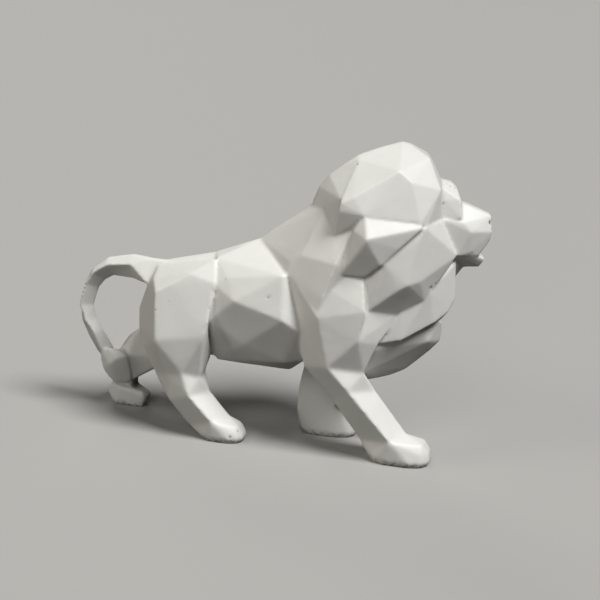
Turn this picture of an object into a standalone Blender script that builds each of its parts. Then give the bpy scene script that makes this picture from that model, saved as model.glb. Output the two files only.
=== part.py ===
# Faceted lion, cast in one piece, pacing with its head held high.
#
# The lion faces +X, its left side is +Y and its four paws stand on z = 0. Sizes are in
# millimetres. Each muscle mass and each lock of the mane is a convex block between a few
# named corners, written as (x, distance out from the middle plane, z), and the blocks are
# joined into one solid. The origin is under the middle of the lion's overall box.

import bpy
import bmesh
from math import atan2, copysign, cos, pi, radians, sin
from mathutils import Vector

MM = 0.001
RIGHT = -1
LEFT = 1

# The middle of the overall box, measured from where the corners' x and distance out start.
BOX_MIDDLE_X = -1.6
BOX_MIDDLE_Y = 4.2

# The head, mane and neck turn to the lion's left, ever more from the withers to the face.
HEAD_TURN = radians(11.0)
TURN_START_X = 5.0
TURN_END_X = 80.0
TURN_PIVOT_X = 20.0

# Distance out from the middle plane of the widest corners of each mass.
RIBS = 33.0
HAUNCH = 34.0
SHOULDER = 37.0
COLLAR = 36.5
CROWN = 36.0
SIDE_LOCK = 44.0
CHEEK = 38.0
BEARD = 29.0
BROW = 14.0
MUZZLE = 14.0

# Heights of the outline along the middle plane.
CROWN_TOP = 182.0
NECK_TOP = 142.0
WITHERS = 119.5
LOIN = 109.0
TAIL_ROOT = 99.0
BELLY = 44.0

# Paw heights, and a paw's outline: its sides, how square it is, and how it draws in.
FORE_PAW_HEIGHT = 13.0
HIND_PAW_HEIGHT = 9.5
PAW_SIDES = 12
PAW_ROUNDING = 0.75
PAW_SOLE_INSET = 1.2
PAW_RIM_HEIGHT = 3.0
PAW_KNUCKLE_SHARE = 0.6
PAW_KNUCKLE_INSET = 1.0
PAW_TOP_SPREAD = 0.45
PAW_TOP_SETBACK = 0.42

# The tail's section: how wide its outer and inner edges are, and where its side ridges lie.
TAIL_OUTER_EDGE_SHARE = 0.25
TAIL_INNER_EDGE_SHARE = 0.05

# Corners closer than this, in metres, become one after the join.
WELD_DISTANCE = 0.00005

# Faces of a block that meet flatter than this become one facet.
FLAT_ANGLE = radians(0.5)


def turned(point):
    """Where a corner of the neck or the head goes when the head turns to the left."""
    x, y, z = point
    reach = min(max((x - TURN_START_X) / (TURN_END_X - TURN_START_X), 0.0), 1.0)
    angle = HEAD_TURN * reach * reach * (3.0 - 2.0 * reach)
    ahead = x - TURN_PIVOT_X
    return (TURN_PIVOT_X + cos(angle) * ahead - sin(angle) * y, sin(angle) * ahead + cos(angle) * y, z)


def both_sides(corners):
    """Corners on the right and on the left of the middle plane."""
    return [(x, side * out, z) for x, out, z in corners for side in (RIGHT, LEFT)]


def one_side(corners, side):
    """Corners on one side of the middle plane."""
    return [(x, side * out, z) for x, out, z in corners]


def placed(corner):
    """A corner's place in metres, measured from the origin."""
    x, y, z = corner
    return Vector((x - BOX_MIDDLE_X, y - BOX_MIDDLE_Y, z)) * MM


def add_guide(name, shape, blocks):
    """Keeps a block's shape as a hidden guide that the lion is joined from."""
    bmesh.ops.dissolve_limit(
        shape, angle_limit=FLAT_ANGLE, verts=shape.verts, edges=shape.edges, delimit=set()
    )
    bmesh.ops.recalc_face_normals(shape, faces=shape.faces)
    mesh = bpy.data.meshes.new(name)
    shape.to_mesh(mesh)
    shape.free()
    guide = bpy.data.objects.new(name, mesh)
    guide.display_type = "WIRE"
    guide.hide_render = True
    blocks.objects.link(guide)


def block(name, corners, blocks):
    """The convex block between the corners."""
    shape = bmesh.new()
    for corner in corners:
        shape.verts.new(placed(corner))
    hull = bmesh.ops.convex_hull(shape, input=shape.verts)
    spare = [item for item in set(hull["geom_interior"] + hull["geom_unused"])
             if isinstance(item, bmesh.types.BMVert)]
    bmesh.ops.delete(shape, geom=spare, context="VERTS")
    add_guide(name, shape, blocks)


def even_block(name, corners, blocks):
    """A block that is the same on both sides of the body."""
    block(name, both_sides(corners.values()), blocks)


def turned_block(name, corners, blocks):
    """A block that is the same on both sides of the neck or the head, and turns with it."""
    block(name, [turned(corner) for corner in both_sides(corners.values())], blocks)


def loft(name, rings, blocks):
    """A block that runs through rings with the same number of corners, closed at both ends."""
    shape = bmesh.new()
    loops = []
    for ring in rings:
        corners = [shape.verts.new(placed(corner)) for corner in ring]
        loops.append([shape.edges.new(pair) for pair in zip(corners, corners[1:] + corners[:1])])
    for loop, following in zip(loops, loops[1:]):
        bmesh.ops.bridge_loops(shape, edges=loop + following)
    bmesh.ops.holes_fill(shape, edges=loops[0] + loops[-1], sides=len(rings[0]))
    bmesh.ops.triangulate(shape, faces=shape.faces)
    add_guide(name, shape, blocks)


def chain(name, rings, blocks):
    """A run of blocks, each between one ring of corners and the next."""
    for number, (ring, following) in enumerate(zip(rings, rings[1:]), start=1):
        block(f"{name}_{number}", ring + following, blocks)


def leg(name, rings, side, blocks):
    """A leg's blocks from its top ring down; returns the last ring, which its paw starts from."""
    sided = [one_side(ring, side) for ring in rings]
    chain(name, sided, blocks)
    return sided[-1]


def paw(name, reach, spread, height, side, ankle, blocks):
    """A paw with a flat sole, under its leg's last ring of corners.

    reach is the heel's and the toes' x, and spread is the inner and the outer distance out.
    """
    heel, toe = reach
    inner, outer = spread
    middle_x = (heel + toe) / 2
    middle_y = (inner + outer) / 2
    half_length = (toe - heel) / 2
    half_width = (outer - inner) / 2
    rings = ((0.0, PAW_SOLE_INSET), (PAW_RIM_HEIGHT, 0.0), (height * PAW_KNUCKLE_SHARE, PAW_KNUCKLE_INSET))
    corners = []
    for z, inset in rings:
        for number in range(PAW_SIDES):
            angle = 2 * pi * (number + 0.5) / PAW_SIDES
            ahead = copysign(abs(cos(angle)) ** PAW_ROUNDING, cos(angle)) * (half_length - inset)
            out = copysign(abs(sin(angle)) ** PAW_ROUNDING, sin(angle)) * (half_width - inset)
            corners.append((middle_x + ahead, middle_y + out, z))
    for out in (-PAW_TOP_SPREAD, PAW_TOP_SPREAD):
        corners.append((toe - PAW_TOP_SETBACK * height, middle_y + out * half_width, height))
    block(name, one_side(corners, side) + ankle, blocks)


def trunk(blocks):
    """The flanks, the belly and the rump."""
    flank = {
        "loin": (-38.5, 0, LOIN),
        "withers": (-12.5, 0, WITHERS),
        "hip notch": (-33.8, 16.5, LOIN - 0.5),
        "hip notch low": (-33, 25, 96),
        "last rib high": (-24, RIBS - 7, 100),
        "last rib": (-18, RIBS - 1, 88),
        "first rib high": (9, RIBS - 5, 105),
        "first rib": (11, RIBS, 80),
        "elbow notch": (20, RIBS - 6, 73),
        "stifle notch": (-34.5, RIBS - 6.4, 73),
        "belly edge front": (11, 20, 51.5),
        "belly edge": (-13, RIBS - 7, 61),
        "belly edge back": (-35, 12, 52),
        "belly back": (-34, 8, BELLY + 0.5),
        "belly middle": (-9, 8, BELLY),
        "belly front": (11, 6, BELLY - 1),
        "inside elbow": (22, 16, 53),
        "inside neck": (30, 0, 110),
    }
    even_block("flank", flank, blocks)
    rump = {
        "tail root": (-73.5, 4, TAIL_ROOT),
        "croup": (-61, 0, 103),
        "loin": (-37, 0, LOIN),
        "hip notch": (-33, 14, 108),
        "under the tail": (-78, 9, 86),
        "seat": (-83, 6, 71),
        "seat low": (-81, 6, 58),
        "inside haunch": (-64, 24, 77),
        "inside haunch low": (-64, 24, 60),
        "inside stifle": (-37, 24, 66),
        "groin back": (-60, 10, 46),
        "groin": (-34, 10, 47.5),
    }
    even_block("rump", rump, blocks)


def right_hind_leg(blocks):
    """The right hind leg, set forward under the belly."""
    haunch = {
        "tail root": (-73, 5, TAIL_ROOT - 0.5),
        "croup edge": (-71.5, 18, 92.5),
        "pin": (-66.5, HAUNCH - 5, 88),
        "pin front": (-56.5, HAUNCH - 6, 93),
        "hip back": (-46.5, HAUNCH - 8, 100),
        "hip": (-33.5, 18, LOIN),
        "hip low": (-31, HAUNCH - 7, 96),
        "thigh front": (-33, HAUNCH - 2, 73),
        "stifle": (-34.8, HAUNCH - 1, 65),
        "thigh back": (-66, HAUNCH - 3, 77),
        "thigh back low": (-64.5, HAUNCH, 59.5),
        "under the tail": (-78, 10, 86),
        "seat": (-84, 7, 71),
        "seat low": (-84, 7, 60),
        "seat corner": (-82, 7, 48),
        "inside stifle": (-38, 14, 60),
    }
    block("right_haunch", one_side(haunch.values(), RIGHT), blocks)
    thigh_front = (-33.2, HAUNCH - 3, 72)
    stifle = [thigh_front, (-34.8, HAUNCH - 1, 65), (-64.5, HAUNCH, 59.5), (-82, 7, 48), (-35, 14, 50.5)]
    knee = [(-38, 26, 38), (-48, 32, 41), (-58, 28, 38), (-71, 12, 33), (-39, 13, 39)]
    shank = [(-33.5, 20, 28.5), (-43, 33, 28), (-57, 26, 22), (-60, 15, 18), (-43, 8, 27)]
    ankle = [(-21, 19, 14.5), (-29, 31, 13), (-44, 23, 6), (-44, 11, 6), (-30, 8, 11)]
    last = leg("right_hind_leg", [stifle, knee, shank, ankle], RIGHT, blocks)
    paw("right_hind_paw", (-38, -10.5), (8.5, 30), HIND_PAW_HEIGHT, RIGHT, last, blocks)


def left_hind_leg(blocks):
    """The left hind leg, pushed back behind the rump."""
    haunch = {
        "tail root": (-73, 5, TAIL_ROOT - 1),
        "croup edge": (-71.5, 17, 91),
        "pin": (-66, HAUNCH - 6, 86),
        "hip back": (-46, HAUNCH - 8, 98),
        "hip": (-34, 18, 106.5),
        "hip low": (-31, HAUNCH - 7, 95),
        "thigh front": (-40, HAUNCH - 1, 68),
        "thigh back": (-66, HAUNCH, 60),
        "under the tail": (-78, 10, 86),
        "seat": (-84, 7, 71),
        "seat low": (-84, 7, 60),
        "inside stifle": (-42, 8, 60),
    }
    block("left_haunch", one_side(haunch.values(), LEFT), blocks)
    stifle = [(-80, 8, 60), (-46, 8, 56), (-44, HAUNCH - 1, 60), (-76, HAUNCH - 1, 62)]
    shank = [(-96.9, 12, 47), (-91, 10, 51), (-68, 12, 34), (-66, 31, 36), (-88, 32, 50)]
    hock = [
        (-99.4, 12, 41.5),
        (-103.5, 10, 36),
        (-95.3, 7, 35.5),
        (-87.7, 9, 39),
        (-110, 10, 25),
        (-101, 12, 15),
        (-93.5, 12, 18),
        (-83, 14, 27),
        (-102, 29, 36),
        (-106, 28, 22),
        (-88, 30, 24),
    ]
    leg("left_hind_leg", [stifle, shank, hock], LEFT, blocks)
    heel = [(-109, 13, 26), (-95, 13, 22), (-96, 29, 22), (-108, 28, 26)]
    pastern = [(-108, 15.5, 13.5), (-96, 16, 11), (-96, 29, 11), (-108, 29, 13.5)]
    last = leg("left_hind_ankle", [heel, pastern], LEFT, blocks)
    sole_and_toes = {
        "heel top": (-109.4, 13, 14.2),
        "heel": (-110.5, 13.5, 8),
        "heel far": (-110.5, 28, 8),
        "side top": (-102.3, 12.3, 10.8),
        "side top front": (-96, 12.5, HIND_PAW_HEIGHT + 0.4),
        "toe top": (-87.5, 14, HIND_PAW_HEIGHT + 1),
        "toe": (-83.9, 20, HIND_PAW_HEIGHT - 0.3),
        "side far": (-98, 31, HIND_PAW_HEIGHT + 1.2),
        "sole back": (-105.5, 14, 0),
        "sole heel": (-109, 18, 0),
        "sole heel far": (-108, 27, 0),
        "sole far": (-98, 30, 0),
        "sole toe": (-85.8, 20.5, 0),
        "sole front": (-88, 14, 0),
        "toe side": (-86.3, 13.3, 6),
        "rim": (-104, 12.3, PAW_RIM_HEIGHT),
    }
    block("left_hind_paw", one_side(sole_and_toes.values(), LEFT) + last, blocks)


def right_fore_leg(blocks):
    """The right shoulder and fore leg, reaching forward."""
    shoulder = {
        "armpit high": (12, 25, 105),
        "blade back": (42.8, SHOULDER - 6, 109.4),
        "blade front": (55.4, SHOULDER - 8.5, 109),
        "point back high": (39, SHOULDER - 3, 100.9),
        "point front high": (56.5, SHOULDER - 6, 104),
        "point front": (58.9, SHOULDER - 2, 91.2),
        "point back": (32, SHOULDER, 85),
        "armpit": (20, 26, 72.5),
        "elbow": (38.5, SHOULDER - 2, 56),
        "arm front": (55.6, SHOULDER - 2, 73.5),
        "elbow back": (22, 20, 51.5),
        "inside back": (24, 8, 60),
        "inside front": (52, 8, 58),
    }
    block("right_shoulder", one_side(shoulder.values(), RIGHT), blocks)
    breast = {
        "point of shoulder": (58.5, 30.5, 90.2),
        "cheek notch": (76.2, 15.9, 88.5),
        "arm side": (65.8, 25, 70),
        "arm front": (55.6, SHOULDER - 2, 73.5),
        "inside shoulder": (48, 20, 88),
        "inside chest": (66, 8, 86),
        "inside arm": (50, 12, 64),
    }
    block("right_breast", one_side(breast.values(), RIGHT), blocks)
    arm = [(55.6, SHOULDER - 2, 73.5), (65.8, 25, 70), (30, 30, 72), (50, 8, 66)]
    elbow = [(59, 26, 53), (38.5, SHOULDER - 2, 56), (20, 26, 72), (22, 20, 51), (28, 8, 52), (50, 8, 52)]
    forearm = [(65.5, 20, 41.5), (51.5, 34, 43), (39, 20, 34), (41, 8, 33), (58, 7, 38)]
    ankle = [(85, 17, 17), (77, 31, 15), (58, 19, 10), (60, 6, 9), (77, 6, 12)]
    last = leg("right_fore_leg", [arm, elbow, forearm, ankle], RIGHT, blocks)
    paw("right_fore_paw", (63, 100.5), (4, 30), FORE_PAW_HEIGHT, RIGHT, last, blocks)


def left_fore_leg(blocks):
    """The left shoulder and fore leg, upright under the chest."""
    shoulder = {
        "armpit high": (12, 25, 105),
        "blade back": (40, SHOULDER - 4.5, 108.5),
        "blade front": (56.5, SHOULDER - 5, 110),
        "point front high": (57.5, SHOULDER - 2, 104.5),
        "point front": (59.5, SHOULDER, 92),
        "point back": (32, SHOULDER, 85),
        "armpit": (20, 26, 72.5),
        "elbow": (30, SHOULDER - 2, 56),
        "elbow front": (52, 28, 54),
        "elbow back": (20, 12, 54),
        "inside back": (24, 6, 60),
        "inside front": (52, 6, 60),
    }
    block("left_shoulder", one_side(shoulder.values(), LEFT), blocks)
    elbow = [(52, 26, 56), (30, SHOULDER - 2, 56), (18.5, 20, 54), (19, 6, 54), (50, 6, 54)]
    forearm = [(42, 24, 32), (28, 31, 32), (14.5, 22, 30), (14.5, 6, 30), (40, 6, 32)]
    ankle = [(40, 23, 19), (27, 29, 18), (14, 22, 16), (14, 5, 16), (38, 5, 19)]
    last = leg("left_fore_leg", [elbow, forearm, ankle], LEFT, blocks)
    paw("left_fore_paw", (13.5, 51), (4, 29), FORE_PAW_HEIGHT - 1, LEFT, last, blocks)


def tail(blocks):
    """The tail, arching back from the rump and down to a tuft against the left hock."""
    # Each station is x, y and z of the tail's middle, its depth in the arch, its half width
    # and how far out from the middle, as a share of the depth, the ridge along its side runs.
    stations = [
        (-70, -2, 92, 18, 9, -0.37),
        (-78, -2, 93, 16, 8, -0.37),
        (-90.5, 0, 94.3, 15, 7, 0.17),
        (-105.2, 1, 92.5, 11.7, 6.5, 0.2),
        (-112.9, 1.5, 87, 10.4, 6, 0.28),
        (-117.2, 2, 79.8, 8.6, 5.6, 0.4),
        (-120.6, 2, 67.2, 8.3, 5.2, 0.42),
        (-119.5, 3, 57.4, 9.2, 5.2, 0.12),
        (-116, 5, 49, 10.2, 5.2, -0.05),
        (-111.3, 8.8, 38.3, 10.4, 5.2, 0.1),
        (-109.6, 11.5, 33.5, 9.5, 5, 0.1),
    ]
    rings = []
    for number, (x, y, z, depth, half_width, ridge) in enumerate(stations):
        before = stations[max(number - 1, 0)]
        after = stations[min(number + 1, len(stations) - 1)]
        heading = atan2(after[2] - before[2], after[0] - before[0])
        section = (
            (0.5, -TAIL_OUTER_EDGE_SHARE),
            (0.5, TAIL_OUTER_EDGE_SHARE),
            (ridge, 1.0),
            (-0.5, TAIL_INNER_EDGE_SHARE),
            (-0.5, -TAIL_INNER_EDGE_SHARE),
            (ridge, -1.0),
        )
        rings.append([
            (x + sin(heading) * depth * across, y + half_width * side, z - cos(heading) * depth * across)
            for across, side in section
        ])
    loft("tail", rings, blocks)
    tuft = {
        "seam back": (-113.2, 5, 36.9),
        "seam front": (-108.2, 4, 40),
        "notch side": (-104.3, 5, 39.7),
        "notch": (-103.4, 7, 37.2),
        "notch front": (-98.8, 8.5, 38),
        "ridge front": (-95.3, 5, 35.5),
        "ridge": (-101.6, 2.5, 33.8),
        "ridge back": (-105.4, 2.5, 29.7),
        "back": (-113.1, 6, 30.4),
        "back low": (-111.7, 6, 25),
        "back foot": (-108.4, 7, 19.9),
        "tip back": (-105, 8, 16.4),
        "tip": (-101.3, 8.5, 15.5),
        "tip front": (-96.4, 9.5, 16),
        "front foot": (-93.5, 10, 17.9),
        "front": (-93.5, 7.5, 26.3),
        "inside": (-105, 20, 28),
    }
    block("tuft", one_side(tuft.values(), LEFT), blocks)


def neck(blocks):
    """The neck from the withers to the shoulders, and the nape behind the crown."""
    collar = {
        "withers": (-12.5, 0, WITHERS),
        "neck top": (16.5, 3, NECK_TOP),
        "saddle edge": (11.5, 24, 113),
        "saddle foot": (11, 25.5, 106.5),
        "strip top": (24.5, 12, NECK_TOP),
        "nape notch": (29, 16, 145.5),
        "strip foot": (18.2, 26.5, 118),
        "behind the crown": (34.2, 27.8, 130.4),
        "collar edge": (44.5, 30, 136),
        "collar middle": (37.5, COLLAR - 0.5, 116),
        "collar low": (32, COLLAR, 96.5),
        "collar foot": (29.5, COLLAR, 85),
        "elbow notch": (19.5, 26.5, 73),
        "under the side lock": (46, 31, 112),
        "inside head": (70, 10, 150),
        "inside shoulder": (66, 20, 66),
        "inside chest": (60, 8, 50),
    }
    turned_block("collar", collar, blocks)
    nape = {
        "foot": (18.5, 2, 145.5),
        "low": (21.5, 3, 153.5),
        "middle": (27, 3, 161),
        "high": (33, 3, 166),
        "top": (42.5, 3, 173),
        "crown notch": (43, 8, 171.5),
        "side notch": (29, 16, 146.5),
        "side high": (37.5, 30, 152),
        "side": (37, 30, 145),
        "side low": (34.3, 27, 130.5),
        "foot side": (18.5, 6, 140),
        "inside high": (70, 3, 172),
        "inside": (70, 25, 140),
    }
    turned_block("nape", nape, blocks)


def mane(blocks):
    """The crown, then the side locks, the cheeks, the beard and the chest, each a tier of the mane."""
    crown = {
        "crest back": (43.5, 3, 173.5),
        "crest middle": (54.5, 2, 178),
        "crest": (67, 2, CROWN_TOP),
        "crest front": (72, 2, CROWN_TOP - 1),
        "forelock high": (77, 3, 178),
        "forelock ridge": (82.3, 13, 175),
        "forelock": (84, 4, 173.5),
        "forelock low": (87, 5, 168.5),
        "forelock foot": (90, 9, 162.5),
        "back edge": (43.5, 9, 171.5),
        "ridge node": (65.5, CROWN - 7.5, 169),
        "ridge back": (58, CROWN - 6.5, 164),
        "ridge front": (72.7, CROWN - 6.2, 163.2),
        "back corner high": (43.5, CROWN - 3, 154),
        "back corner": (37.5, CROWN - 3, 150.5),
        "back corner low": (37, CROWN - 3, 145.5),
        "rim back": (50, CROWN, 144.5),
        "rim front": (79, CROWN - 2, 142),
        "temple": (82.5, CROWN - 5, 139),
        "eye corner high": (89.5, 22, 158.8),
        "eye corner": (91.5, 17, 141),
        "underside back": (34.2, 28, 130),
        "underside": (45.5, 30, 136.5),
    }
    turned_block("crown", crown, blocks)
    side_lock = {
        "ledge back": (50, 35, 145),
        "ledge front": (79, 33, 142),
        "point": (52, SIDE_LOCK, 133),
        "point low": (52, SIDE_LOCK - 1, 129.5),
        "lower edge back": (59.5, SIDE_LOCK - 5, 117.5),
        "lower edge": (61, SIDE_LOCK - 6, 119.5),
        "middle edge": (68.5, SIDE_LOCK - 6, 127.5),
        "front": (80, SIDE_LOCK - 9, 139),
        "back high": (45, SIDE_LOCK - 9, 136),
        "back": (41.8, SIDE_LOCK - 10.5, 116.9),
        "back low": (40, SIDE_LOCK - 10, 110.5),
        "underside": (52, SIDE_LOCK - 9, 110),
        "inside": (70, 10, 110),
    }
    turned_block("side_lock", side_lock, blocks)
    cheek = {
        "temple": (81.5, 33, 139),
        "eye corner": (91.5, 19, 141),
        "jaw corner": (102, 16, 121),
        "temple low": (79, 35, 132.5),
        "middle": (76, CHEEK - 1, 118.5),
        "lower point": (74.5, CHEEK, 107),
        "back edge": (61, CHEEK, 118.5),
        "rim": (70, CHEEK, 104.5),
        "rim front": (81, CHEEK - 4, 108.5),
        "bevel": (85, 25, 95.5),
        "bevel front": (88.5, 21, 100.5),
        "back high": (49, 30, 109.5),
        "back low": (50, 30, 93),
        "underside": (72, 27, 87.5),
        "underside back": (54.2, 35, 90),
        "inside": (60, 10, 110),
    }
    turned_block("cheek", cheek, blocks)
    beard = {
        "chin": (102, 11, 116),
        "front": (103.5, 10, 94),
        "front low": (100, 13, 87),
        "tip": (96, 13, 82),
        "cheek notch": (88, BEARD - 5, 100),
        "cheek notch low": (85, BEARD - 4, 95),
        "back high": (72, BEARD - 1, 88),
        "back point": (61, BEARD, 69.5),
        "rim": (73, BEARD - 1, 72),
        "rim front": (83, BEARD - 5, 77.5),
        "rim tip": (91.5, BEARD - 9, 81.5),
        "underside": (80, 10, 74),
        "inside": (60, 10, 80),
        "inside high": (85, 10, 116),
    }
    turned_block("beard", beard, blocks)
    chest = {
        "beard notch": (97, 6, 79),
        "front": (98, 3, 74.5),
        "point": (97.5, 2, 66),
        "point side": (90, 12, 68),
        "keel high": (92, 3, 60),
        "keel": (86.5, 3, 56),
        "keel middle": (78.5, 3, 47.5),
        "keel low": (70, 3, 43.5),
        "keel foot": (64, 4, 42),
        "keel end": (56, 5, 40.5),
        "elbow front": (55, 22, 51),
        "side": (61.5, 27, 66),
        "arm front": (50, 33, 66),
        "cheek notch": (72.3, 26, 88.5),
        "point of shoulder": (53.5, 33, 90),
        "inside": (85, 12, 84),
    }
    turned_block("chest", chest, blocks)


def face(blocks):
    """The brow, the muzzle, the lower jaw and the throat."""
    brow = {
        "forelock": (90, 3, 162),
        "forehead": (96.5, 4, 160.5),
        "forehead front": (99.5, 5, 158),
        "brow front": (101.5, 6, 154),
        "bridge root": (103, 5, 149.5),
        "brow back": (91, BROW - 2, 158.5),
        "brow edge back": (93, BROW, 152),
        "brow edge": (102, BROW - 2, 152),
        "eye front": (103, BROW, 142),
        "eye back": (93.5, BROW + 1, 140.5),
        "inside high": (84, 10, 158),
        "inside": (80, BROW, 138),
    }
    turned_block("brow", brow, blocks)
    muzzle = {
        "bridge root": (103, 5, 149.5),
        "bridge": (108, 5, 148),
        "nose top": (120.5, 4, 143),
        "nose side": (121.4, MUZZLE - 7, 134),
        "lip ridge": (109, MUZZLE, 134.5),
        "cheekbone": (104, MUZZLE, 139.5),
        "cheekbone back": (93, MUZZLE + 2, 141),
        "lip front": (121, MUZZLE - 8, 129),
        "lip": (115, MUZZLE - 6, 120),
        "mouth": (109.5, MUZZLE - 2, 122.5),
        "mouth corner": (102.5, MUZZLE, 120),
        "inside": (88, MUZZLE, 121),
    }
    turned_block("muzzle", muzzle, blocks)
    jaw = {
        "lip": (119, 4, 118),
        "chin high": (118, 4, 115.5),
        "chin": (116, 3, 112.3),
        "jaw low": (107.5, 3, 111.7),
        "mouth": (110, 11, 121),
        "mouth corner": (102.5, 13, 120),
        "inside high": (88, 10, 122),
        "inside": (88, 3, 112),
    }
    turned_block("jaw", jaw, blocks)
    throat = {
        "jaw notch": (107.5, 3, 112),
        "beard notch": (103.7, 3, 106.3),
        "beard notch high": (102.5, 12, 119.5),
        "inside high": (88, 12, 119),
        "inside": (88, 3, 104),
    }
    turned_block("throat", throat, blocks)


def painted_resin():
    """The matt off-white paint over the cast resin."""
    material = bpy.data.materials.new("white_painted_resin")
    material.use_nodes = True
    surface = material.node_tree.nodes["Principled BSDF"]
    surface.inputs["Base Color"].default_value = (0.82, 0.81, 0.77, 1.0)
    surface.inputs["Roughness"].default_value = 0.5
    surface.inputs["Metallic"].default_value = 0.0
    return material


def main():
    for item in list(bpy.data.objects):
        bpy.data.objects.remove(item)
    scene = bpy.context.scene
    sculpture = bpy.data.collections.new("geometric_lion")
    blocks = bpy.data.collections.new("lion_blocks")
    scene.collection.children.link(sculpture)
    scene.collection.children.link(blocks)

    for build in (trunk, right_hind_leg, left_hind_leg, right_fore_leg, left_fore_leg, tail, neck, mane, face):
        build(blocks)

    # The lion starts as the flanks, and every other block is joined to them.
    flank = blocks.objects["flank"]
    lion = bpy.data.objects.new("lion", flank.data)
    lion.data.materials.append(painted_resin())
    sculpture.objects.link(lion)
    bpy.data.objects.remove(flank)
    join = lion.modifiers.new("join_blocks", "BOOLEAN")
    join.operation = "UNION"
    join.operand_type = "COLLECTION"
    join.collection = blocks
    join.solver = "EXACT"
    weld = lion.modifiers.new("weld_joints", "WELD")
    weld.merge_threshold = WELD_DISTANCE


main()
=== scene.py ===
# Faceted lion ornament in satin off-white paint, on a plain pale floor.
#
# The lion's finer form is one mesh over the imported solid: the same facets with edges that
# the casting and the paint have rounded, slightly uneven faces, small pits and rough soles.

import bpy
import numpy as np
from math import cos, radians, sin
from mathutils import Matrix, Vector, noise


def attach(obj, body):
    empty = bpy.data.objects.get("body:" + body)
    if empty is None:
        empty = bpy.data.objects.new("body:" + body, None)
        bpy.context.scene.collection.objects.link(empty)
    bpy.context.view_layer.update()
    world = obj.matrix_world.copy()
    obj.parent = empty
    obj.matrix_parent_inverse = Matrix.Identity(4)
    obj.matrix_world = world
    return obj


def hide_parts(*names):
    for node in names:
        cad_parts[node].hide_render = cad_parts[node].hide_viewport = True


MM = 0.001

# The solid's mesh is redrawn with even faces of this size before its edges are rounded.
FACE_SIZE = 0.75 * MM

# Share of the even faces that is kept once the form is done, so that flat places get fewer.
KEPT_FACES = 0.42

# How many rounding passes the mane and head get, and how many the legs get.
CRISP_PASSES = 2
SOFT_PASSES = 11
PASS_STRENGTH = 0.5

# How soft the trunk's and the tail's edges are, from 0 as in the mane to 1 as in the legs.
TRUNK_SOFTNESS = 0.3
TAIL_SOFTNESS = 0.3

# The mane's rearmost edge, the height where the legs start, the tail's root, and how far one
# softness fades into the next.
MANE_BACK = 30 * MM
LEGS_TOP = 62 * MM
TAIL_ROOT = -82 * MM
FADE = 14 * MM

# The middles of the right and the left nostril, in millimetres, and their half sizes and depth.
NOSTRILS = ((120.66, 9.76, 138.8), (118.67, 19.97, 138.8))
NOSTRIL_HALF_SIZE = (1.3, 1.3, 1.7)
NOSTRIL_DEPTH = 1.1 * MM

# Small pits in the cast surface: each one's place and radius in millimetres. The last three are
# on the lion's left side.
PITS = (
    (3.3, -34.9, 92.2, 0.9),
    (-23.4, -29.7, 98.7, 0.9),
    (93.0, -15.3, 103.2, 1.3),
    (95.4, -12.5, 105.1, 0.9),
    (94.9, -4.3, 150.1, 0.9),
    (-63.9, -35.1, 77.3, 0.8),
    (45.6, -13.4, 169.4, 0.9),
    (97.0, 3.2, 159.1, 0.7),
    (95.1, 3.5, 160.1, 0.7),
    (99.7, 4.8, 158.0, 0.7),
    (-16.0, -32.9, 4.6, 1.2),
    (-12.4, -29.0, 7.5, 0.8),
    (112.8, 2.2, 122.0, 0.8),
    (31.0, 40.2, 99.0, 0.9),
    (-50.0, 26.5, 88.0, 0.8),
    (70.0, 38.0, 150.0, 0.8),
)
PIT_DEPTH = 0.35 * MM

# Where a nostril's and a pit's wall starts and how wide it is, as shares of its half size or
# radius, and how dark the painted shade on a pit's floor is beside a nostril's.
NOSTRIL_WALL = (0.45, 0.65)
PIT_WALL = (0.2, 0.9)
PIT_SHADE = 0.6

# The bend that counts as a full edge or crease, and how many times the bend is blurred.
FULL_BEND = 0.12 * MM
BEND_BLURS = 3

# Unevenness of the faces: size of the swells and of the ripples, and their heights.
SWELL_SIZE = 16 * MM
SWELL_HEIGHT = 0.16 * MM
RIPPLE_SIZE = 4.5 * MM
RIPPLE_HEIGHT = 0.05 * MM

# The rough flash left round each sole.
SOLE_BAND = 3.2 * MM
SOLE_ROUGHNESS = 0.35 * MM
SOLE_GRAIN = 2.2 * MM

# The camera stands here and looks this way, tilted as the photograph is.
CAMERA_PLACE = Vector((175.9, -729.4, 275.5)) * MM
CAMERA_AIM = Vector((-0.2096, 0.9456, -0.2487))
CAMERA_ROLL = radians(3.2)
CAMERA_LENS = 78.0

# Strength of a light that alone makes the paint full white, and how wide the lights look.
WHITE_STRENGTH = 4.0
LIGHT_WIDTH = radians(24.0)

# Each light's name, azimuth and height in degrees, share of full white, and colour: a soft key
# from the front and above, and weaker light from the side and from behind.
LIGHTS = (
    ("key", -25, 55, 0.79, (1.0, 1.0, 1.0)),
    ("side_high", -95, 40, 0.09, (1.0, 1.0, 0.99)),
    ("side_low", -90, 10, 0.08, (1.0, 0.985, 0.94)),
    ("rear", -150, 15, 0.17, (1.0, 0.965, 0.87)),
    ("back", 120, 30, 0.08, (1.0, 0.98, 0.93)),
)

# The colour and strength of the plain room behind the floor.
ROOM_COLOUR = (1.0, 0.985, 0.955, 1.0)
ROOM_STRENGTH = 0.36

# Half the floor's width in metres, its colour and its roughness.
FLOOR_HALF_SIZE = 30.0
FLOOR_COLOUR = (0.45, 0.445, 0.425, 1.0)
FLOOR_ROUGHNESS = 0.85

# The paint's two tones, painted shade with some dust in its creases, painted highlights with some
# rubbing on its edges, painted shade in the nostrils and pits, and the soil on the soles.
PAINT_DARKER = (0.765, 0.76, 0.72, 1.0)
PAINT_LIGHTER = (0.815, 0.81, 0.775, 1.0)
CREASE_SHADE_AND_DUST_COLOUR = (0.33, 0.31, 0.27, 1.0)
EDGE_HIGHLIGHT_AND_WEAR_COLOUR = (0.88, 0.87, 0.84, 1.0)
HOLLOW_SHADE_COLOUR = (0.05, 0.045, 0.04, 1.0)
SOIL_COLOUR = (0.34, 0.32, 0.29, 1.0)

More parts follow.
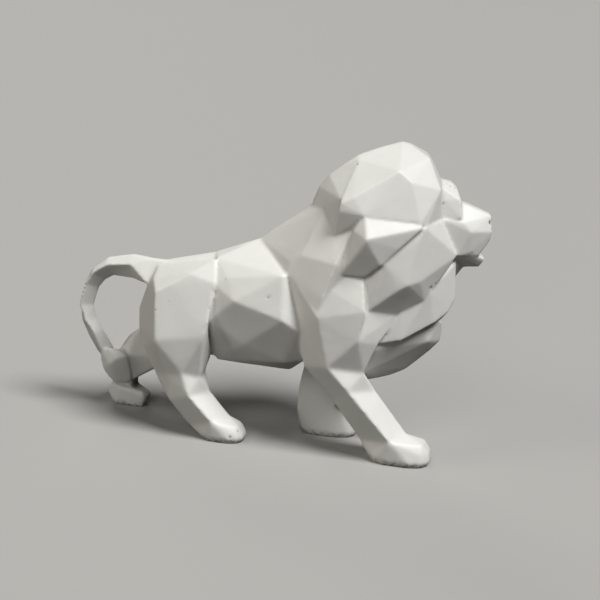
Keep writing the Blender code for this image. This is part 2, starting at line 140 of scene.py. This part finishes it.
# How fine the mottling is, how rough its pattern is, and where its two tones are reached.
MOTTLE_SCALE = 38.0
MOTTLE_ROUGHNESS = 0.6
DARKER_FROM = 0.3
LIGHTER_FROM = 0.72

# The bend where the painted edge highlight with rubbing starts, and the most that the painted
# crease shade with dust and the painted edge highlight with rubbing cover.
EDGE_HIGHLIGHT_START = 0.15
CREASE_SHADE_AND_DUST_COVER = 0.45
EDGE_HIGHLIGHT_COVER = 0.5

# How high above the floor the soil reaches in metres, how fine its patches are, and where in
# their pattern they start and are full.
SOIL_TOP = 0.0045
SOIL_SCALE = 420.0
SOIL_FROM = 0.46
SOIL_FULL = 0.62

# The satin sheen: how much it mirrors, how fine its patches are, and its least and most
# roughness.
SHEEN_SPECULAR = 0.45
SHEEN_SCALE = 90.0
SHEEN_SMOOTHEST = 0.38
SHEEN_ROUGHEST = 0.56

# The paint's fine grain: how fine it is, how strong it is, and its height in metres.
GRAIN_SCALE = 900.0
GRAIN_STRENGTH = 0.12
GRAIN_HEIGHT = 0.0002

# A colour mix takes its two colours at these inputs and gives the result at this output.
MIX_UNDER = 6
MIX_OVER = 7
MIX_RESULT = 2


def mesh_arrays(mesh):
    """A mesh's corner places and its edges' corner pairs."""
    places = np.empty(len(mesh.vertices) * 3)
    mesh.vertices.foreach_get("co", places)
    pairs = np.empty(len(mesh.edges) * 2, dtype=np.int64)
    mesh.edges.foreach_get("vertices", pairs)
    return places.reshape(-1, 3), pairs.reshape(-1, 2)


def neighbour_mean(values, pairs, counts):
    """The mean of each corner's neighbours, for one or more numbers a corner."""
    total = np.zeros_like(values)
    for column in range(values.shape[1]):
        total[:, column] = np.bincount(pairs[:, 0], values[pairs[:, 1], column], len(values))
        total[:, column] += np.bincount(pairs[:, 1], values[pairs[:, 0], column], len(values))
    return total / counts[:, None]


def step(values, start, width):
    """0 below start, 1 above start + width, and smooth between."""
    share = np.clip((values - start) / width, 0.0, 1.0)
    return share * share * (3.0 - 2.0 * share)


def apply_modifiers(piece):
    """Turns the piece's modifiers into its own mesh."""
    bpy.context.view_layer.update()
    graph = bpy.context.evaluated_depsgraph_get()
    mesh = bpy.data.meshes.new_from_object(piece.evaluated_get(graph))
    piece.modifiers.clear()
    piece.data = mesh


def even_mesh(node):
    """A copy of the solid, redrawn with even faces."""
    piece = bpy.data.objects.new("lion_sculpture", node.data.copy())
    bpy.context.scene.collection.objects.link(piece)
    redraw = piece.modifiers.new("even_faces", "REMESH")
    redraw.mode = "VOXEL"
    redraw.voxel_size = FACE_SIZE
    apply_modifiers(piece)
    return piece


def softness(places):
    """How round the edges are at each place: 0 in the mane and the head, 1 in the legs."""
    legs = 1.0 - step(places[:, 2], LEGS_TOP, FADE)
    mane = step(places[:, 0], MANE_BACK, FADE)
    tail = 1.0 - step(places[:, 0], TAIL_ROOT - FADE, FADE)
    above = (1.0 - mane) * TRUNK_SOFTNESS
    soft = legs + (1.0 - legs) * above
    return soft * (1.0 - tail) + TAIL_SOFTNESS * tail


def round_edges(piece):
    """Rounds the edges, the legs' more than the mane's, and keeps the soles flat."""
    places, pairs = mesh_arrays(piece.data)
    counts = np.bincount(pairs.ravel(), minlength=len(places)).astype(float)
    wanted = CRISP_PASSES + softness(places) * (SOFT_PASSES - CRISP_PASSES)
    standing = places[:, 2] < 0.5 * FACE_SIZE
    for number in range(SOFT_PASSES):
        move = neighbour_mean(places, pairs, counts) - places
        share = PASS_STRENGTH * np.clip(wanted - number, 0.0, 1.0)
        places += move * share[:, None]
    places[:, 2] = np.maximum(places[:, 2], 0.0)
    places[standing, 2] = 0.0
    piece.data.vertices.foreach_set("co", places.ravel())
    piece.data.update()


def corner_normals(piece):
    """The outward direction at each corner."""
    normals = np.empty(len(piece.data.vertices) * 3)
    piece.data.vertices.foreach_get("normal", normals)
    return normals.reshape(-1, 3)


def bend(piece):
    """How much the surface bends at each corner: above 0 on edges, below 0 in creases."""
    places, pairs = mesh_arrays(piece.data)
    counts = np.bincount(pairs.ravel(), minlength=len(places)).astype(float)
    normals = corner_normals(piece)
    away = places - neighbour_mean(places, pairs, counts)
    amount = (away * normals).sum(axis=1, keepdims=True)
    for _ in range(BEND_BLURS):
        amount = 0.5 * amount + 0.5 * neighbour_mean(amount, pairs, counts)
    return amount[:, 0]


def uneven_faces(piece):
    """Slight swells and ripples of a hand-finished mould, and the rough flash round the soles."""
    places, _ = mesh_arrays(piece.data)
    normals = corner_normals(piece)
    lift = np.empty(len(places))
    for index, place in enumerate(places):
        spot = Vector(place)
        lift[index] = SWELL_HEIGHT * noise.noise(spot / SWELL_SIZE)
        lift[index] += RIPPLE_HEIGHT * noise.noise(spot / RIPPLE_SIZE)
        if place[2] < SOLE_BAND:
            near_floor = 1.0 - place[2] / SOLE_BAND
            lift[index] -= SOLE_ROUGHNESS * near_floor * abs(noise.noise(spot / SOLE_GRAIN))
    lift[places[:, 2] <= 0.0] = 0.0
    places = places + normals * lift[:, None]
    places[:, 2] = np.maximum(places[:, 2], 0.0)
    piece.data.vertices.foreach_set("co", places.ravel())
    piece.data.update()


def hollow_out(piece):
    """Presses the nostrils and the pits in, and returns how dark the painted shade in them makes
    each corner.
    """
    places, _ = mesh_arrays(piece.data)
    normals = corner_normals(piece)
    depth = np.zeros(len(places))
    painted_shade = np.zeros(len(places))
    for middle in NOSTRILS:
        reach = (places / MM - middle) / NOSTRIL_HALF_SIZE
        near = 1.0 - step(np.linalg.norm(reach, axis=1), *NOSTRIL_WALL)
        depth = np.maximum(depth, near * NOSTRIL_DEPTH)
        painted_shade = np.maximum(painted_shade, near)
    for x, y, z, radius in PITS:
        away = np.linalg.norm(places / MM - (x, y, z), axis=1)
        near = 1.0 - step(away / radius, *PIT_WALL)
        depth = np.maximum(depth, near * PIT_DEPTH * radius)
        painted_shade = np.maximum(painted_shade, PIT_SHADE * near)
    places = places - normals * depth[:, None]
    piece.data.vertices.foreach_set("co", places.ravel())
    piece.data.update()
    return painted_shade


def keep_numbers(piece, name, values):
    """Stores one number a corner for the paint."""
    layer = piece.data.attributes.new(name, "FLOAT", "POINT")
    layer.data.foreach_set("value", values.astype(np.float32))


def thin_out(piece):
    """Joins faces where the form is flat."""
    fewer = piece.modifiers.new("fewer_faces", "DECIMATE")
    fewer.ratio = KEPT_FACES
    apply_modifiers(piece)


def add_noise(tree, place, scale, detail):
    """A noise texture on the lion's own coordinates."""
    texture = tree.nodes.new("ShaderNodeTexNoise")
    texture.inputs["Scale"].default_value = scale
    texture.inputs["Detail"].default_value = detail
    tree.links.new(place, texture.inputs["Vector"])
    return texture


def add_number(tree, name):
    """A number that the mesh holds for each corner."""
    number = tree.nodes.new("ShaderNodeAttribute")
    number.attribute_name = name
    return number.outputs["Fac"]


def add_range(tree, value, first, last, low, high):
    """The value moved from first..last to low..high, and held within it."""
    mapped = tree.nodes.new("ShaderNodeMapRange")
    mapped.inputs["From Min"].default_value = first
    mapped.inputs["From Max"].default_value = last
    mapped.inputs["To Min"].default_value = low
    mapped.inputs["To Max"].default_value = high
    tree.links.new(value, mapped.inputs["Value"])
    return mapped.outputs["Result"]


def add_coat(tree, under, share, colour):
    """A colour laid over what is under it, by a share."""
    coat = tree.nodes.new("ShaderNodeMix")
    coat.data_type = "RGBA"
    tree.links.new(share, coat.inputs["Factor"])
    tree.links.new(under, coat.inputs[MIX_UNDER])
    coat.inputs[MIX_OVER].default_value = colour
    return coat.outputs[MIX_RESULT]


def mottled_tone(tree, place):
    """The paint's own colour, faintly mottled between its two tones."""
    mottle = add_noise(tree, place, scale=MOTTLE_SCALE, detail=5.0)
    mottle.inputs["Roughness"].default_value = MOTTLE_ROUGHNESS
    tone = tree.nodes.new("ShaderNodeValToRGB")
    darker, lighter = tone.color_ramp.elements
    darker.position = DARKER_FROM
    darker.color = PAINT_DARKER
    lighter.position = LIGHTER_FROM
    lighter.color = PAINT_LIGHTER
    tree.links.new(mottle.outputs["Fac"], tone.inputs["Fac"])
    return tone.outputs["Color"]


def soil_share(tree, place):
    """How much soil is on each spot: patches near the floor only."""
    parts = tree.nodes.new("ShaderNodeSeparateXYZ")
    tree.links.new(place, parts.inputs["Vector"])
    low = add_range(tree, parts.outputs["Z"], SOIL_TOP, 0.0, 0.0, 1.0)
    scuffs = add_noise(tree, place, scale=SOIL_SCALE, detail=3.0)
    patches = add_range(tree, scuffs.outputs["Fac"], SOIL_FROM, SOIL_FULL, 0.0, 1.0)
    soil = tree.nodes.new("ShaderNodeMath")
    soil.operation = "MULTIPLY"
    tree.links.new(low, soil.inputs[0])
    tree.links.new(patches, soil.inputs[1])
    return soil.outputs["Value"]


def satin_paint():
    """Satin off-white paint: faint mottling, painted shade with some dust in the creases, painted
    highlights with some rubbing on the edges, painted shade in the nostrils and pits, soiled
    soles.
    """
    material = bpy.data.materials.new("satin_off_white_paint")
    material.use_nodes = True
    tree = material.node_tree
    surface = tree.nodes["Principled BSDF"]
    surface.inputs["Specular IOR Level"].default_value = SHEEN_SPECULAR
    place = tree.nodes.new("ShaderNodeTexCoord").outputs["Object"]

    edge = add_number(tree, "bend")
    # Painted shade darkens the creases, with some dust in them.
    crease_shade_and_dust = add_range(tree, edge, 0.0, -1.0, 0.0, CREASE_SHADE_AND_DUST_COVER)
    # Painted highlight lightens the sharp edges, with some rubbed wear on them.
    edge_highlight_and_wear = add_range(tree, edge, EDGE_HIGHLIGHT_START, 1.0, 0.0, EDGE_HIGHLIGHT_COVER)
    colour = mottled_tone(tree, place)
    colour = add_coat(tree, colour, crease_shade_and_dust, CREASE_SHADE_AND_DUST_COLOUR)
    colour = add_coat(tree, colour, edge_highlight_and_wear, EDGE_HIGHLIGHT_AND_WEAR_COLOUR)
    # Painted shade darkens the nostrils and the pits.
    colour = add_coat(tree, colour, add_number(tree, "hollow_shade"), HOLLOW_SHADE_COLOUR)
    colour = add_coat(tree, colour, soil_share(tree, place), SOIL_COLOUR)
    tree.links.new(colour, surface.inputs["Base Color"])

    sheen = add_noise(tree, place, scale=SHEEN_SCALE, detail=3.0)
    gloss = add_range(tree, sheen.outputs["Fac"], 0.0, 1.0, SHEEN_SMOOTHEST, SHEEN_ROUGHEST)
    tree.links.new(gloss, surface.inputs["Roughness"])

    grain = add_noise(tree, place, scale=GRAIN_SCALE, detail=4.0)
    bumps = tree.nodes.new("ShaderNodeBump")
    bumps.inputs["Strength"].default_value = GRAIN_STRENGTH
    bumps.inputs["Distance"].default_value = GRAIN_HEIGHT
    tree.links.new(grain.outputs["Fac"], bumps.inputs["Height"])
    tree.links.new(bumps.outputs["Normal"], surface.inputs["Normal"])
    return material


def add_lion(node):
    """The lion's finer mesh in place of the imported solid."""
    piece = even_mesh(node)
    round_edges(piece)
    keep_numbers(piece, "bend", np.clip(bend(piece) / FULL_BEND, -1.0, 1.0))
    uneven_faces(piece)
    keep_numbers(piece, "hollow_shade", hollow_out(piece))
    thin_out(piece)
    piece.data.materials.clear()
    piece.data.materials.append(satin_paint())
    piece.data.shade_smooth()
    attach(piece, "root")
    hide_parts("lion")
    return piece


def add_floor():
    """A plain pale floor, wide enough to fill every view, that throws no light on the lion."""
    size = FLOOR_HALF_SIZE
    mesh = bpy.data.meshes.new("floor")
    corners = [(-size, -size, 0), (size, -size, 0), (size, size, 0), (-size, size, 0)]
    mesh.from_pydata(corners, [], [(0, 1, 2, 3)])
    floor = bpy.data.objects.new("floor", mesh)
    bpy.context.scene.collection.objects.link(floor)
    material = bpy.data.materials.new("pale_floor")
    material.use_nodes = True
    surface = material.node_tree.nodes["Principled BSDF"]
    surface.inputs["Base Color"].default_value = FLOOR_COLOUR
    surface.inputs["Roughness"].default_value = FLOOR_ROUGHNESS
    floor.data.materials.append(material)
    floor.visible_diffuse = False
    floor.visible_glossy = False


def add_light(name, azimuth, elevation, share, colour):
    """A wide, soft light that gives a facet turned to it this share of full white."""
    data = bpy.data.lights.new(name, "SUN")
    data.angle = LIGHT_WIDTH
    data.energy = share * WHITE_STRENGTH
    data.color = colour
    around, above = radians(azimuth), radians(elevation)
    away = Vector((cos(above) * cos(around), cos(above) * sin(around), sin(above)))
    light = bpy.data.objects.new(name, data)
    light.location = away
    light.rotation_euler = (-away).to_track_quat("-Z", "Y").to_euler()
    bpy.context.scene.collection.objects.link(light)


def add_lights():
    """The lights, and a plain room that is seen behind the floor but lights nothing."""
    for light in LIGHTS:
        add_light(*light)
    world = bpy.data.worlds.new("room_light")
    bpy.context.scene.world = world
    world.use_nodes = True
    background = world.node_tree.nodes["Background"]
    background.inputs["Color"].default_value = ROOM_COLOUR
    background.inputs["Strength"].default_value = ROOM_STRENGTH
    world.cycles_visibility.diffuse = False
    world.cycles_visibility.glossy = False
    bpy.context.scene.view_settings.view_transform = "Standard"


def add_camera():
    """The camera at the photograph's viewing angle."""
    data = bpy.data.cameras.new("camera")
    data.lens = CAMERA_LENS
    camera = bpy.data.objects.new("camera", data)
    forward = CAMERA_AIM.normalized()
    right = forward.cross(Vector((0, 0, 1))).normalized()
    up = right.cross(forward)
    turn = Matrix.Rotation(-CAMERA_ROLL, 3, forward)
    right, up = turn @ right, turn @ up
    facing = Matrix((right, up, -forward)).transposed().to_4x4()
    camera.matrix_world = Matrix.Translation(CAMERA_PLACE) @ facing
    bpy.context.scene.collection.objects.link(camera)
    bpy.context.scene.camera = camera


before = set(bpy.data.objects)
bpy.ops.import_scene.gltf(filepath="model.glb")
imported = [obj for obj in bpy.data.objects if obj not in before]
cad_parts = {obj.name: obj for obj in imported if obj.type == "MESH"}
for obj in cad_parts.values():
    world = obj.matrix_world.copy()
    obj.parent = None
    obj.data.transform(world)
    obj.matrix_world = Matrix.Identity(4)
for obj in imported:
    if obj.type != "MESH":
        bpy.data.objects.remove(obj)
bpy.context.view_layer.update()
add_lion(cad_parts["lion"])
add_floor()
add_lights()
add_camera()
